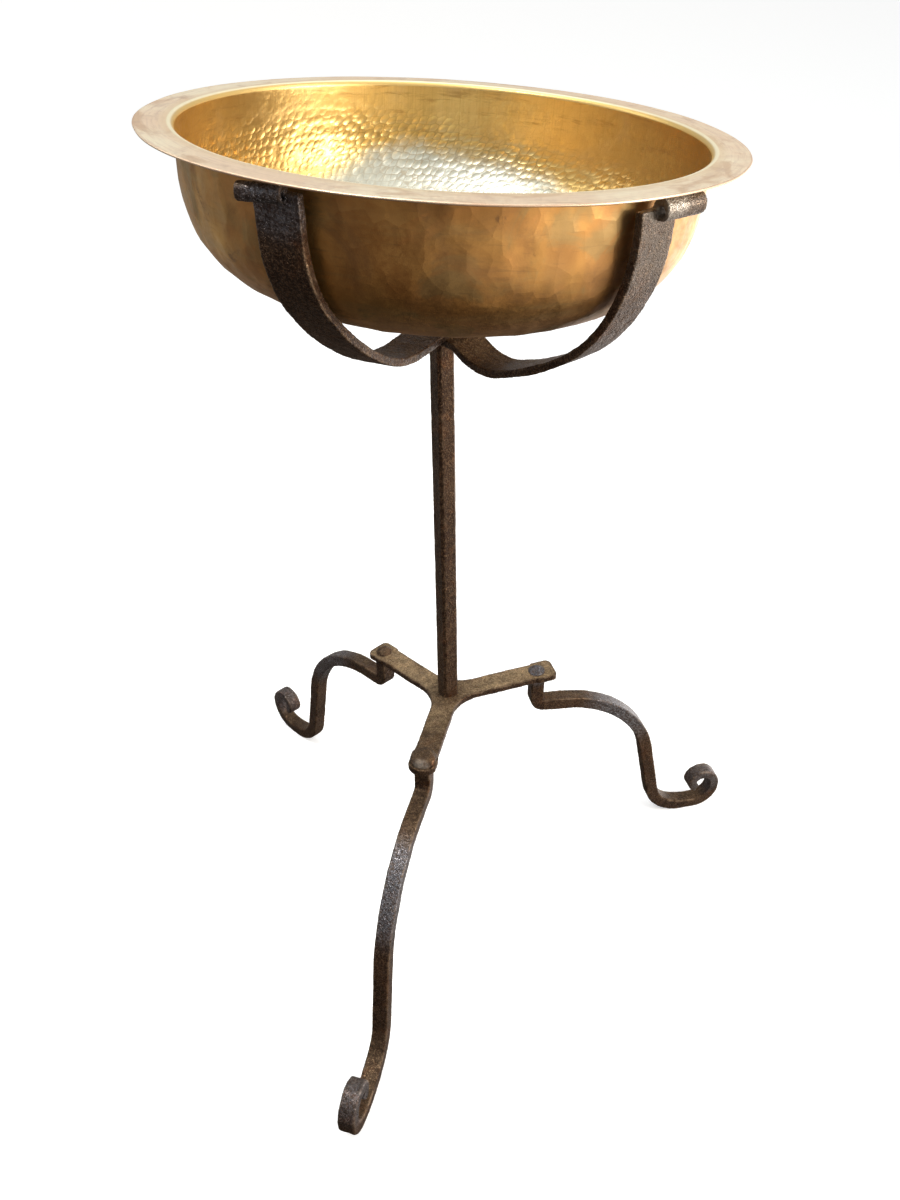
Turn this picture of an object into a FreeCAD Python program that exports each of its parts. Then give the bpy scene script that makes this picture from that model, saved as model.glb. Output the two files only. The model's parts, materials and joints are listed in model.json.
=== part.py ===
import FreeCAD, Part
import math
import os

# Baptismal font: a hammered brass bowl resting in a forged iron stand.
# All sizes in millimetres. The floor is z = 0, the post stands on the Z axis,
# and the front leg points towards -Y. An azimuth of 0 is the front leg's
# direction; azimuths grow towards +X.

# ---- bowl ----
rim_radius = 268.0
bowl_radius = 236.0            # outside of the wall, just under the flange
bowl_depth = 148.5             # flange top to the underside of the floor
bowl_wall = 2.0
flange_thickness = 2.0
flange_edge_round = 0.6
lip_round = 3.0                # rounding from the wall into the flange
rim_height = 983.5             # flange top at the bowl's own centre
bowl_lean = 3.85               # the bowl sits a little out of level
bowl_lean_azimuth = 106.4      # the low side of the rim
bowl_shift = 7.0               # rim centre, moved towards the low side
bowl_squareness_across = 3.05  # roundness of the wall outline seen from above the knee
bowl_squareness_down = 3.6     # roundness of the floor outline

# ---- post ----
post_side = 20.0
post_edge_chamfer = 2.5
post_turn = 49.0               # azimuth of one flat of the post
hub_top = 315.0
hub_thickness = 8.0
hub_tilt = 1.6                 # the hub plate is set a little out of level
hub_tilt_azimuth = 121.0       # its high side
post_top = 791.0               # shoulder under the crossed bars
post_tenon_radius = 6.5
peened_head_radius = 11.0
peened_head_height = 4.0

# ---- cradle bars ----
bar_width = 39.5
bar_thickness = 7.0
upper_bar_gaps = (7.0, 11.0)   # upright arms to the bowl wall at the rim, front and back
lower_bar_gaps = (9.0, 6.0)
upper_bar_azimuth = -11.2
lower_bar_azimuth = 57.3
crossing_flat = 33.0           # level stretch each side of the post, where the bars cross
crossing_bend = 10.0
bar_flat = 23.0                # nominal straight stretch before an arm rises
upper_bar_droops = (0.0, 17.0) # degrees the front and back arms sag from the crossing
lower_bar_droops = (28.5, 5.0)
# A rising arm has three bends: their centreline radii, then the slope where the second
# and the third one start. The lower bar's front arm hangs deeper than the others.
usual_arm = {"radii": (140.0, 290.0, 104.0), "slopes": (29.0, 50.0)}
deep_arm = {"radii": (68.4, 319.6, 151.6), "slopes": (16.6, 32.4)}

# ---- rolled tips: centreline radius, thickness, length, offset from the arm, gap under flange ----
upper_roll = {"radius": 4.9, "thickness": 4.6, "length": 36.0, "offset": 10.0, "gap": 0.4}
lower_roll = {"radius": 6.2, "thickness": 5.4, "length": 39.0, "offset": 17.5, "gap": 2.0}
roll_tip_share = 0.6           # the rolled end is drawn down to this share of its thickness
roll_sink = 0.5                # the roll starts a little inside the arm's end
roll_set_out = 1.0
roll_skew = 9.0                # degrees a rolled tip is skewed
roll_sweep = 300.0

# ---- hub ----
hub_arm_width = 29.0
hub_arm_reaches = {"leg_front": 142.0, "leg_left": 138.0, "leg_right": 146.0}
hub_end_width = 33.0
hub_end_length = 30.0
hub_end_round = 7.0
hub_fillet = 46.0
leg_radius = 122.5             # leg tenons from the post axis
leg_tenon_radius = 6.0
front_head_radius = 15.5
front_head_height = 9.0
side_head_radius = 11.0
side_head_height = 5.0

# ---- legs ----
leg_width = 18.0
leg_thickness = 16.0
leg_tip_thickness = 10.0
# Azimuth of each leg's tenon on the hub, then the direction the leg itself runs in.
tenon_azimuths = {"leg_front": 2.0, "leg_left": -119.0, "leg_right": 123.0}
leg_headings = {"leg_front": -0.8, "leg_left": -120.8, "leg_right": 118.8}
elbow_extras = {"leg_front": 2.0, "leg_left": 5.0, "leg_right": 3.0}   # degrees, hand forged
sole_lengths = {"leg_front": 52.0, "leg_left": 39.0, "leg_right": 41.0}
leg_taper_share = 0.72         # the bar starts thinning this far along its length
leg_stub = 31.0                # drop from the hub to the elbow
nominal_shin = 90.0            # straight shin, trimmed so the foot meets the floor
shin_slope = 78.0
foot_flat_depth = 1.0          # the foot is dressed flat where it meets the floor
floor_cut_size = 600.0


def direction(azimuth):
    angle = math.radians(azimuth)
    return FreeCAD.Vector(math.sin(angle), -math.cos(angle), 0)


def turn_to(shape, azimuth):
    """Turn a shape built along +X so that it points at the azimuth."""
    shape.rotate(FreeCAD.Vector(0, 0, 0), FreeCAD.Vector(0, 0, 1), azimuth - 90.0)
    return shape


def trace(x, z, heading, stretches):
    """Walk a bent centreline. Each stretch is (length, turn in degrees)."""
    stations = [(x, z, heading)]
    for length, turn in stretches:
        for half in (0.5, 0.5):
            step_turn = turn * half
            middle = math.radians(heading + step_turn / 2.0)
            half_angle = math.radians(step_turn) / 2.0
            chord = length * half
            if abs(half_angle) > 1e-6:
                chord = chord * math.sin(half_angle) / half_angle
            x = x + chord * math.cos(middle)
            z = z + chord * math.sin(middle)
            heading = heading + step_turn
            stations.append((x, z, heading))
    return stations


def side_points(stations, half_thicknesses, side):
    points = []
    for (x, z, heading), half in zip(stations, half_thicknesses):
        angle = math.radians(heading + 90.0 * side)
        points.append(FreeCAD.Vector(x + half * math.cos(angle), 0, z + half * math.sin(angle)))
    return points


def chain(points, stretches):
    """Join stations in pairs: straight stretches as lines, bent ones as arcs."""
    edges = []
    for index, (length, turn) in enumerate(stretches):
        first, middle, last = points[2 * index:2 * index + 3]
        if abs(turn) < 0.01:
            edges.append(Part.LineSegment(first, last).toShape())
        else:
            edges.append(Part.Arc(first, middle, last).toShape())
    return edges


def ribbon(start, heading, stretches, thickness_start, thickness_end, taper_from, width):
    """A bar bent in the XZ plane, tapering in thickness after taper_from."""
    stations = trace(start[0], start[1], heading, stretches)
    total = sum(length for length, turn in stretches)
    walked = [0.0]
    for length, turn in stretches:
        walked.append(walked[-1] + length / 2.0)
        walked.append(walked[-1] + length / 2.0)
    halves = []
    for distance in walked:
        share = max(0.0, (distance - taper_from) / (total - taper_from))
        halves.append(0.5 * (thickness_start + (thickness_end - thickness_start) * share))
    left = side_points(stations, halves, 1)
    right = side_points(stations, halves, -1)
    edges = chain(left, stretches)
    edges.append(Part.LineSegment(left[-1], right[-1]).toShape())
    edges.extend(chain(right, stretches))
    edges.append(Part.LineSegment(right[0], left[0]).toShape())
    face = Part.Face(Part.Wire(Part.__sortEdges__(edges)))
    solid = face.extrude(FreeCAD.Vector(0, width, 0))
    solid.translate(FreeCAD.Vector(0, -width / 2.0, 0))
    return solid, stations


def dome(radius, height, x, z):
    """A peened head: a shallow dome standing on the plane z."""
    sphere_radius = (radius ** 2 + height ** 2) / (2.0 * height)
    ball = Part.makeSphere(sphere_radius, FreeCAD.Vector(x, 0, z + height - sphere_radius))
    slab = Part.makeCylinder(radius + 1.0, height, FreeCAD.Vector(x, 0, z))
    return ball.common(slab)


def superellipse(share, radius, depth):
    """Point on the bowl's outline: share 0 at the rim, 1 at the floor centre."""
    angle = share * math.pi / 2.0
    across = radius * math.cos(angle) ** (2.0 / bowl_squareness_across)
    down = depth * math.sin(angle) ** (2.0 / bowl_squareness_down)
    return FreeCAD.Vector(across, 0, -down)


def bowl_curve(radius, depth, first_drop):
    """Bowl outline as one smooth curve, from first_drop below the rim to the axis."""
    points = [FreeCAD.Vector(radius, 0, -first_drop)]
    for share in (0.12, 0.24, 0.36, 0.48, 0.58, 0.68, 0.78, 0.87, 0.94):
        points.append(superellipse(share, radius, depth))
    points.append(FreeCAD.Vector(0, 0, -depth))
    curve = Part.BSplineCurve()
    curve.interpolate(Points=points, InitialTangent=FreeCAD.Vector(0, 0, -1),
                      FinalTangent=FreeCAD.Vector(-1, 0, 0))
    return curve


def lean_placement():
    """Carries the upright bowl, built with its flange top at z = 0, onto the stand."""
    low_side = direction(bowl_lean_azimuth)
    tilt_axis = FreeCAD.Vector(0, 0, 1).cross(low_side)
    base = low_side * bowl_shift + FreeCAD.Vector(0, 0, rim_height)
    return FreeCAD.Placement(base, FreeCAD.Rotation(tilt_axis, bowl_lean))


def underside_height(azimuth, radius):
    """Height of the flange's underside above the floor over a point of the stand."""
    place = direction(azimuth) * radius
    along = place.dot(direction(bowl_lean_azimuth)) - bowl_shift
    lean = math.radians(bowl_lean)
    return rim_height - along * math.tan(lean) - flange_thickness / math.cos(lean)


def make_bowl():
    inside_radius = bowl_radius - bowl_wall
    outer = bowl_curve(bowl_radius, bowl_depth, flange_thickness + lip_round)
    inner = bowl_curve(inside_radius, bowl_depth - bowl_wall, lip_round + bowl_wall)
    outer_start = outer.StartPoint
    inner_start = inner.StartPoint
    lip_outer = FreeCAD.Vector(bowl_radius + lip_round, 0, -flange_thickness)
    lip_inner = FreeCAD.Vector(inside_radius + lip_round + bowl_wall, 0, 0)
    bend = math.sqrt(0.5)
    outer_bend = lip_round * (1.0 - bend)
    inner_bend = (lip_round + bowl_wall) * (1.0 - bend)
    outer_middle = FreeCAD.Vector(bowl_radius + outer_bend, 0, -flange_thickness - outer_bend)
    inner_middle = FreeCAD.Vector(inside_radius + inner_bend, 0, -inner_bend)
    edge_low = FreeCAD.Vector(rim_radius - flange_edge_round, 0, -flange_thickness)
    edge_middle = FreeCAD.Vector(rim_radius, 0, -flange_thickness / 2.0)
    edge_high = FreeCAD.Vector(rim_radius - flange_edge_round, 0, 0)
    edges = [
        outer.toShape(),
        Part.Arc(outer_start, outer_middle, lip_outer).toShape(),
        Part.LineSegment(lip_outer, edge_low).toShape(),
        Part.Arc(edge_low, edge_middle, edge_high).toShape(),
        Part.LineSegment(edge_high, lip_inner).toShape(),
        Part.Arc(lip_inner, inner_middle, inner_start).toShape(),
        inner.toShape(),
        Part.LineSegment(inner.EndPoint, outer.EndPoint).toShape(),
    ]
    face = Part.Face(Part.Wire(Part.__sortEdges__(edges)))
    solid = face.revolve(FreeCAD.Vector(0, 0, 0), FreeCAD.Vector(0, 0, 1), 360)
    solid.Placement = lean_placement()
    return solid


def make_arm(azimuth, centre_height, droop, gap, bends, roll, side):
    """Half of a cradle bar: flat stretch, rising arm and rolled tip."""
    arm_reach = bowl_radius + gap + bar_thickness / 2.0
    slopes = (-droop, bends["slopes"][0], bends["slopes"][1], 90.0)
    stretches = [(crossing_flat, 0.0), (crossing_bend, -droop), (bar_flat, 0.0)]
    for radius, start, end in zip(bends["radii"], slopes, slopes[1:]):
        stretches.append((radius * math.radians(end - start), end - start))
    shift = arm_reach - trace(0.0, centre_height, 0.0, stretches)[-1][0]
    stretches[2] = (bar_flat + shift / math.cos(math.radians(droop)), 0.0)
    ends = trace(0.0, centre_height, 0.0, stretches)[-1]
    roll_top = underside_height(azimuth, arm_reach + roll["radius"]) - roll["gap"] - roll["thickness"] / 2.0
    roll_top = roll_top - math.tan(math.radians(bowl_lean)) * (roll["length"] / 2.0 + roll["offset"])
    stretches.append((roll_top - roll["radius"] - ends[1], 0.0))
    arm, stations = ribbon((0.0, centre_height), 0.0, stretches,
                           bar_thickness, bar_thickness, 0.0, bar_width)
    arc = (roll["radius"] * math.radians(roll_sweep), -roll_sweep)
    tip, unused = ribbon((0.0, 0.0), 90.0, [arc], roll["thickness"],
                         roll["thickness"] * roll_tip_share, 0.0, roll["length"])
    tip.translate(FreeCAD.Vector(0, side * roll["offset"], -roll_sink))
    tip.rotate(FreeCAD.Vector(0, 0, 0), FreeCAD.Vector(0, 0, 1), -side * roll_skew)
    tip.translate(FreeCAD.Vector(arm_reach + roll_set_out, 0, stations[-1][1]))
    return turn_to(arm.fuse(tip), azimuth)


def make_bar(azimuth, centre_height, droops, gaps, front_bends, roll, side):
    front = make_arm(azimuth, centre_height, droops[0], gaps[0], front_bends, roll, side)
    back = make_arm(azimuth + 180.0, centre_height, droops[1], gaps[1], usual_arm, roll, -side)
    hole = Part.makeCylinder(post_tenon_radius, 4 * bar_thickness,
                             FreeCAD.Vector(0, 0, centre_height - 2 * bar_thickness))
    return front.fuse(back).cut(hole).removeSplitter()


def make_post():
    sunk = hub_thickness
    bar = Part.makeBox(post_side, post_side, post_top - hub_top + sunk)
    bar.translate(FreeCAD.Vector(-post_side / 2.0, -post_side / 2.0, hub_top - sunk))
    upright_edges = [edge for edge in bar.Edges if abs(edge.tangentAt(edge.FirstParameter).z) > 0.9]
    bar = turn_to(bar.makeChamfer(post_edge_chamfer, upright_edges), post_turn)
    bar = bar.cut(tilted_block(hub_top, False))
    tenon_top = post_top + 2 * bar_thickness
    upper_tenon = Part.makeCylinder(post_tenon_radius, tenon_top - post_top,
                                    FreeCAD.Vector(0, 0, post_top))
    lower_tenon = Part.makeCylinder(post_tenon_radius, hub_thickness,
                                    FreeCAD.Vector(0, 0, hub_top - hub_thickness))
    top_head = dome(peened_head_radius, peened_head_height, 0, tenon_top)
    low_head = dome(peened_head_radius, peened_head_height, 0, 0)
    low_head.rotate(FreeCAD.Vector(0, 0, 0), FreeCAD.Vector(1, 0, 0), 180)
    low_head.translate(FreeCAD.Vector(0, 0, hub_top - hub_thickness))
    return bar.fuse([upper_tenon, top_head, tilt(lower_tenon), tilt(low_head)]).removeSplitter()


def tilt(shape):
    """Carry a shape built on the level hub onto the tilted one."""
    axis = direction(hub_tilt_azimuth).cross(FreeCAD.Vector(0, 0, 1))
    shape.rotate(FreeCAD.Vector(0, 0, hub_top), axis, hub_tilt)
    return shape


def tilted_block(z, upwards):
    """Everything above (or below) a level of the hub plate, tilted with it."""
    size = 4 * hub_arm_width
    width = 3 * hub_arm_reaches["leg_right"]
    block = Part.makeBox(width, width, size)
    block.translate(FreeCAD.Vector(-width / 2.0, -width / 2.0, z if upwards else z - size))
    return tilt(block)


def make_hub():
    plate = None
    bottom = hub_top - hub_thickness
    for name, azimuth in tenon_azimuths.items():
        arm = Part.makeBox(hub_arm_reaches[name] - hub_end_round, hub_arm_width, hub_thickness)
        arm.translate(FreeCAD.Vector(0, -hub_arm_width / 2.0, bottom))
        turn_to(arm, azimuth)
        plate = arm if plate is None else plate.fuse(arm)
    plate = plate.removeSplitter()
    inner_edges = []
    for edge in plate.Edges:
        middle = edge.CenterOfMass
        upright = abs(edge.tangentAt(edge.FirstParameter).z) > 0.9
        if upright and math.hypot(middle.x, middle.y) < hub_arm_width:
            inner_edges.append(edge)
    plate = plate.makeFillet(hub_fillet, inner_edges)
    for name, azimuth in tenon_azimuths.items():
        end = Part.makeBox(hub_end_length, hub_end_width, hub_thickness)
        end.translate(FreeCAD.Vector(hub_arm_reaches[name] - hub_end_length, -hub_end_width / 2.0, bottom))
        corners = [edge for edge in end.Edges if abs(edge.tangentAt(edge.FirstParameter).z) > 0.9]
        end = end.makeFillet(hub_end_round, corners)
        turn_to(end, azimuth)
        plate = plate.fuse(end)
    for azimuth in tenon_azimuths.values():
        place = direction(azimuth) * leg_radius + FreeCAD.Vector(0, 0, bottom)
        plate = plate.cut(Part.makeCylinder(leg_tenon_radius, hub_thickness, place))
    plate = plate.cut(Part.makeCylinder(post_tenon_radius, hub_thickness, FreeCAD.Vector(0, 0, bottom)))
    return tilt(plate.removeSplitter())


def leg_stretches(stub, shin, elbow_extra, sole):
    return [
        (stub, 0.0),                              # stub below the hub
        (19.5, 80.0 + elbow_extra),               # elbow
        (22.0, 4.0 - elbow_extra / 2.0),          # short level run
        (20.0, -6.0),
        (173.0, -66.0 - elbow_extra / 2.0),       # big outward fall
        (shin, 0.0),                              # straight shin
        (54.0, 58.0),                             # ankle
        (sole, 24.0),                             # sole
        (69.0, 128.0),                            # upturned toe
        (31.0, 105.0),                            # scroll
        (20.0, 100.0),                            # snub tip
    ]


def bent_leg(top, stub, shin, elbow_extra, sole):
    stretches = leg_stretches(stub, shin, elbow_extra, sole)
    total = sum(length for length, turn in stretches)
    leg, unused = ribbon((0.0, top), -90.0, stretches, leg_thickness,
                         leg_tip_thickness, leg_taper_share * total, leg_width)
    return leg


def make_leg(name, head_radius, head_height):
    """Forged leg: tenon through the hub, knee, long fall and an upturned scroll foot."""
    hub_bottom = hub_top - hub_thickness
    place = direction(tenon_azimuths[name]) * leg_radius
    rise = place.dot(direction(hub_tilt_azimuth)) * math.tan(math.radians(hub_tilt))
    top = hub_bottom + rise + hub_thickness / 2.0
    stub = leg_stub + top - hub_bottom
    trial = bent_leg(top, stub, nominal_shin, elbow_extras[name], sole_lengths[name])
    excess = trial.BoundBox.ZMin + foot_flat_depth
    shin = nominal_shin + excess / math.sin(math.radians(shin_slope))
    leg = bent_leg(top, stub, shin, elbow_extras[name], sole_lengths[name])
    under_floor = Part.makeBox(floor_cut_size, floor_cut_size, floor_cut_size)
    under_floor.translate(FreeCAD.Vector(0, -floor_cut_size / 2.0, -floor_cut_size))
    leg = turn_to(leg.cut(under_floor), leg_headings[name])
    leg.translate(place)
    leg = leg.cut(tilted_block(hub_bottom, True))
    tenon = Part.makeCylinder(leg_tenon_radius, hub_thickness, place + FreeCAD.Vector(0, 0, hub_bottom))
    head = dome(head_radius, head_height, 0, hub_top)
    head.translate(place)
    return leg.fuse([tilt(tenon), tilt(head)]).removeSplitter()


def build():
    lower_height = post_top + bar_thickness / 2.0
    upper_height = lower_height + bar_thickness
    parts = {
        "bowl": make_bowl(),
        "cradle_bar_upper": make_bar(upper_bar_azimuth, upper_height, upper_bar_droops,
                                     upper_bar_gaps, usual_arm, upper_roll, -1.0),
        "cradle_bar_lower": make_bar(lower_bar_azimuth, lower_height, lower_bar_droops,
                                     lower_bar_gaps, deep_arm, lower_roll, 1.0),
        "post": make_post(),
        "hub_spider": make_hub(),
    }
    for name in tenon_azimuths:
        head = (front_head_radius, front_head_height)
        if name != "leg_front":
            head = (side_head_radius, side_head_height)
        parts[name] = make_leg(name, head[0], head[1])
    return parts


os.makedirs("parts", exist_ok=True)
for name, shape in build().items():
    shape.exportStep("parts/" + name + ".step")
    box = shape.BoundBox
    print(name, len(shape.Solids), shape.isValid(), round(shape.Volume / 1000.0, 1),
          [round(value, 1) for value in (box.XMin, box.YMin, box.ZMin, box.XMax, box.YMax, box.ZMax)])
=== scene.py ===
import json
import math

import bpy
import numpy as np
from mathutils import Matrix, Vector


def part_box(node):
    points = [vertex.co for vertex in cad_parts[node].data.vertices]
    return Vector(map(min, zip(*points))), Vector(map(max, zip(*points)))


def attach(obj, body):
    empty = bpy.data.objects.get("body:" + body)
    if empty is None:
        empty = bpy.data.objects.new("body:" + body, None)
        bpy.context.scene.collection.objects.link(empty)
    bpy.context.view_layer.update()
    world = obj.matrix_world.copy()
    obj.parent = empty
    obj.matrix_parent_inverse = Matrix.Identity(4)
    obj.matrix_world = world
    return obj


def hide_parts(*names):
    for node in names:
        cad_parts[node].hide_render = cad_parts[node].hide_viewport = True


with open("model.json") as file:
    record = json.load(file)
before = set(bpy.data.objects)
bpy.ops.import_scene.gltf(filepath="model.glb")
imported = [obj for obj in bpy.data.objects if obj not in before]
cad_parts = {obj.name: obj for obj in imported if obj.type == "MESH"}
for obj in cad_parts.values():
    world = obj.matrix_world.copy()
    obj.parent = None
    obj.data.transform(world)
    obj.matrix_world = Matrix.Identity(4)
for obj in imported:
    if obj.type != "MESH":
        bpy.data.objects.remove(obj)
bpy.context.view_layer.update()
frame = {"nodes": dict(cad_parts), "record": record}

# ---------------------------------------------------------------- dimensions
# Metres. The bowl's place, size and lean are read from the frame.
MM = 0.001
WALL = 2.0 * MM
FLANGE = 2.0 * MM
LIP = 3.0 * MM
BOWL_DEPTH = 148.5 * MM
FLANGE_WIDTH = 32.0 * MM
SQUARE_ACROSS = 3.05
SQUARE_DOWN = 3.6
EDGE_INSET = 1.2 * MM                          # flat of the flange stops this far from its edge
EDGE_BULGE = 1.0 * MM                          # and the rounded edge stands out this far again
BEND_ROWS = 10
TRIM_ROWS = 4
POLE = 1e-6                                    # a row narrower than this is a single point

# Hammer marks: distance between rings, depth, and the height where neighbours meet.
INNER_PITCH, INNER_DEPTH, INNER_CAP = 15 * MM, 0.24 * MM, 0.2 * MM
OUTER_PITCH, OUTER_DEPTH, OUTER_CAP = 27 * MM, 0.50 * MM, 0.34 * MM
OUTER_SPREAD = 0.3
PEEN_ROW = 7.4 * MM                            # height of one row of fine marks
PEEN_COLUMNS = 170                             # fine marks in one turn
RIM_WAVE = 0.45 * MM
EDGE_WAVE = 0.5 * MM
STREAK_TURN = 7.0                              # how far a rubbed streak runs round the rim
STREAK_WIDTH = 2.4 * MM
RIGHT_OF_FRONT = (0.959, 0.282)                # plan direction, to the right of the worn front

VOXEL = 0.95 * MM     # grid of the forged iron surfaces
AROUND = 720            # columns round the basin's wall

lift_axis = Vector(frame["record"]["behaviour"]["joints"][0]["axis"]).normalized()
bowl_low, bowl_high = (Vector(corner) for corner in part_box("bowl"))
lean_angle = math.acos(lift_axis.z)
RIM_RADIUS = 0.5 * max(bowl_high.x - bowl_low.x, bowl_high.y - bowl_low.y)
rim_centre = Vector(((bowl_low.x + bowl_high.x) / 2, (bowl_low.y + bowl_high.y) / 2,
                     bowl_high.z - RIM_RADIUS * math.sin(lean_angle)))
BOWL_RADIUS = RIM_RADIUS - FLANGE_WIDTH
bowl_matrix = Matrix.Translation(rim_centre) @ \
    Vector((0, 0, 1)).rotation_difference(lift_axis).to_matrix().to_4x4()


# ---------------------------------------------------------------- mesh helpers
def lattice_noise(points, size, seed):
    """Smooth value noise between -1 and 1, with features about `size` across."""
    table = np.random.default_rng(seed).uniform(-1.0, 1.0, 8192)
    scaled = points / size
    base = np.floor(scaled).astype(np.int64)
    part = scaled - base
    part = part * part * (3.0 - 2.0 * part)
    total = np.zeros(len(points))
    for corner in range(8):
        offset = np.array([corner & 1, (corner >> 1) & 1, (corner >> 2) & 1])
        cell = base + offset
        index = (cell[:, 0] * 73856093) ^ (cell[:, 1] * 19349663) ^ (cell[:, 2] * 83492791)
        weight = np.prod(np.where(offset, part, 1.0 - part), axis=1)
        total += weight * table[index & 8191]
    return total


def smooth_step(values, low, high):
    share = np.clip((values - low) / (high - low), 0.0, 1.0)
    return share * share * (3.0 - 2.0 * share)


def get_points(mesh):
    points = np.empty(len(mesh.vertices) * 3)
    mesh.vertices.foreach_get("co", points)
    return points.reshape(-1, 3)


def set_points(mesh, points):
    mesh.vertices.foreach_set("co", np.ascontiguousarray(points, dtype=np.float32).ravel())
    mesh.update()


def get_normals(mesh):
    normals = np.empty(len(mesh.vertices) * 3)
    mesh.vertices.foreach_get("normal", normals)
    return normals.reshape(-1, 3)


def get_edges(mesh):
    edges = np.empty(len(mesh.edges) * 2, dtype=np.int64)
    mesh.edges.foreach_get("vertices", edges)
    return edges.reshape(-1, 2)


def neighbour_means(points, edges):
    count = np.bincount(edges.ravel(), minlength=len(points)).astype(float)[:, None]
    total = np.zeros_like(points)
    for axis in range(3):
        total[:, axis] = np.bincount(edges[:, 0], points[edges[:, 1], axis], len(points)) + \
            np.bincount(edges[:, 1], points[edges[:, 0], axis], len(points))
    return total / np.maximum(count, 1.0)


def relax(points, edges, rounds, keep_size=False):
    """Smoothing that wears the sharp arrises round; keep_size undoes its shrinking."""
    for _ in range(rounds):
        points = points + 0.5 * (neighbour_means(points, edges) - points)
        if keep_size:
            points = points - 0.52 * (neighbour_means(points, edges) - points)
    return points


def add_attribute(mesh, name, values):
    kind = "FLOAT" if values.ndim == 1 else "FLOAT_VECTOR"
    layer = mesh.attributes.new(name, kind, "POINT")
    key = "value" if kind == "FLOAT" else "vector"
    layer.data.foreach_set(key, np.ascontiguousarray(values, dtype=np.float32).ravel())


def shade_smooth(mesh):
    mesh.polygons.foreach_set("use_smooth", np.ones(len(mesh.polygons), dtype=bool))
    mesh.update()


def add_piece(name, mesh, body, replaced):
    piece = bpy.data.objects.new(name, mesh)
    bpy.context.scene.collection.objects.link(piece)
    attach(piece, body)
    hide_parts(*replaced)
    return piece


# ---------------------------------------------------------------- node helpers
class Shader:
    """Small wrapper that keeps the material code short."""

    def __init__(self, name):
        self.material = bpy.data.materials.new(name)
        self.material.use_nodes = True
        self.tree = self.material.node_tree
        self.surface = self.tree.nodes["Principled BSDF"]

    def add(self, kind, **settings):
        node = self.tree.nodes.new(kind)
        for key, value in settings.items():
            setattr(node, key, value)
        return node

    def put(self, socket, value):
        if isinstance(value, bpy.types.NodeSocket):
            self.tree.links.new(value, socket)
        else:
            socket.default_value = value

    def attribute(self, name, output="Fac"):
        return self.add("ShaderNodeAttribute", attribute_name=name).outputs[output]

    def place(self):
        return self.add("ShaderNodeTexCoord").outputs["Object"]

    def stretch(self, vector, scale):
        node = self.add("ShaderNodeMapping")
        self.put(node.inputs["Vector"], vector)
        node.inputs["Scale"].default_value = scale
        return node.outputs["Vector"]

    def noise(self, vector, scale, detail=3.0, rough=0.55, warp=0.0):
        node = self.add("ShaderNodeTexNoise")
        self.put(node.inputs["Vector"], vector)
        node.inputs["Scale"].default_value = scale
        node.inputs["Detail"].default_value = detail
        node.inputs["Roughness"].default_value = rough
        node.inputs["Distortion"].default_value = warp
        return node.outputs["Fac"]

    def dot(self, vector, direction):
        node = self.add("ShaderNodeVectorMath", operation="DOT_PRODUCT")
        self.put(node.inputs[0], vector)
        node.inputs[1].default_value = direction
        return node.outputs["Value"]

    def cells(self, vector, scale, loose=1.0, feature="F1"):
        node = self.add("ShaderNodeTexVoronoi", feature=feature)
        node.inputs["Randomness"].default_value = loose
        self.put(node.inputs["Vector"], vector)
        node.inputs["Scale"].default_value = scale
        return node.outputs["Distance"]

    def ramp(self, value, low, high, to_low=0.0, to_high=1.0):
        node = self.add("ShaderNodeMapRange", interpolation_type="SMOOTHSTEP")
        self.put(node.inputs["Value"], value)
        limits = {"From Min": low, "From Max": high, "To Min": to_low, "To Max": to_high}
        for key, number in limits.items():
            node.inputs[key].default_value = number
        return node.outputs["Result"]

    def math(self, operation, first, second=0.0):
        node = self.add("ShaderNodeMath", operation=operation)
        self.put(node.inputs[0], first)
        self.put(node.inputs[1], second)
        return node.outputs[0]

    def mix(self, share, first, second):
        node = self.add("ShaderNodeMix", data_type="RGBA")
        self.put(node.inputs["Factor"], share)
        for socket, value in ((node.inputs[6], first), (node.inputs[7], second)):
            linked = isinstance(value, bpy.types.NodeSocket)
            self.put(socket, value if linked else (*value, 1.0))
        return node.outputs[2]

    def split(self, vector):
        node = self.add("ShaderNodeSeparateXYZ")
        self.put(node.inputs[0], vector)
        return node.outputs

    def bump(self, height, strength, distance):
        node = self.add("ShaderNodeBump")
        node.inputs["Strength"].default_value = strength
        node.inputs["Distance"].default_value = distance
        self.put(node.inputs["Height"], height)
        return node.outputs["Normal"]

    def finish(self, colour, roughness, normal, metallic=1.0):
        self.put(self.surface.inputs["Base Color"], colour)
        self.put(self.surface.inputs["Roughness"], roughness)
        self.put(self.surface.inputs["Normal"], normal)
        self.put(self.surface.inputs["Metallic"], metallic)
        return self.material


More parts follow.
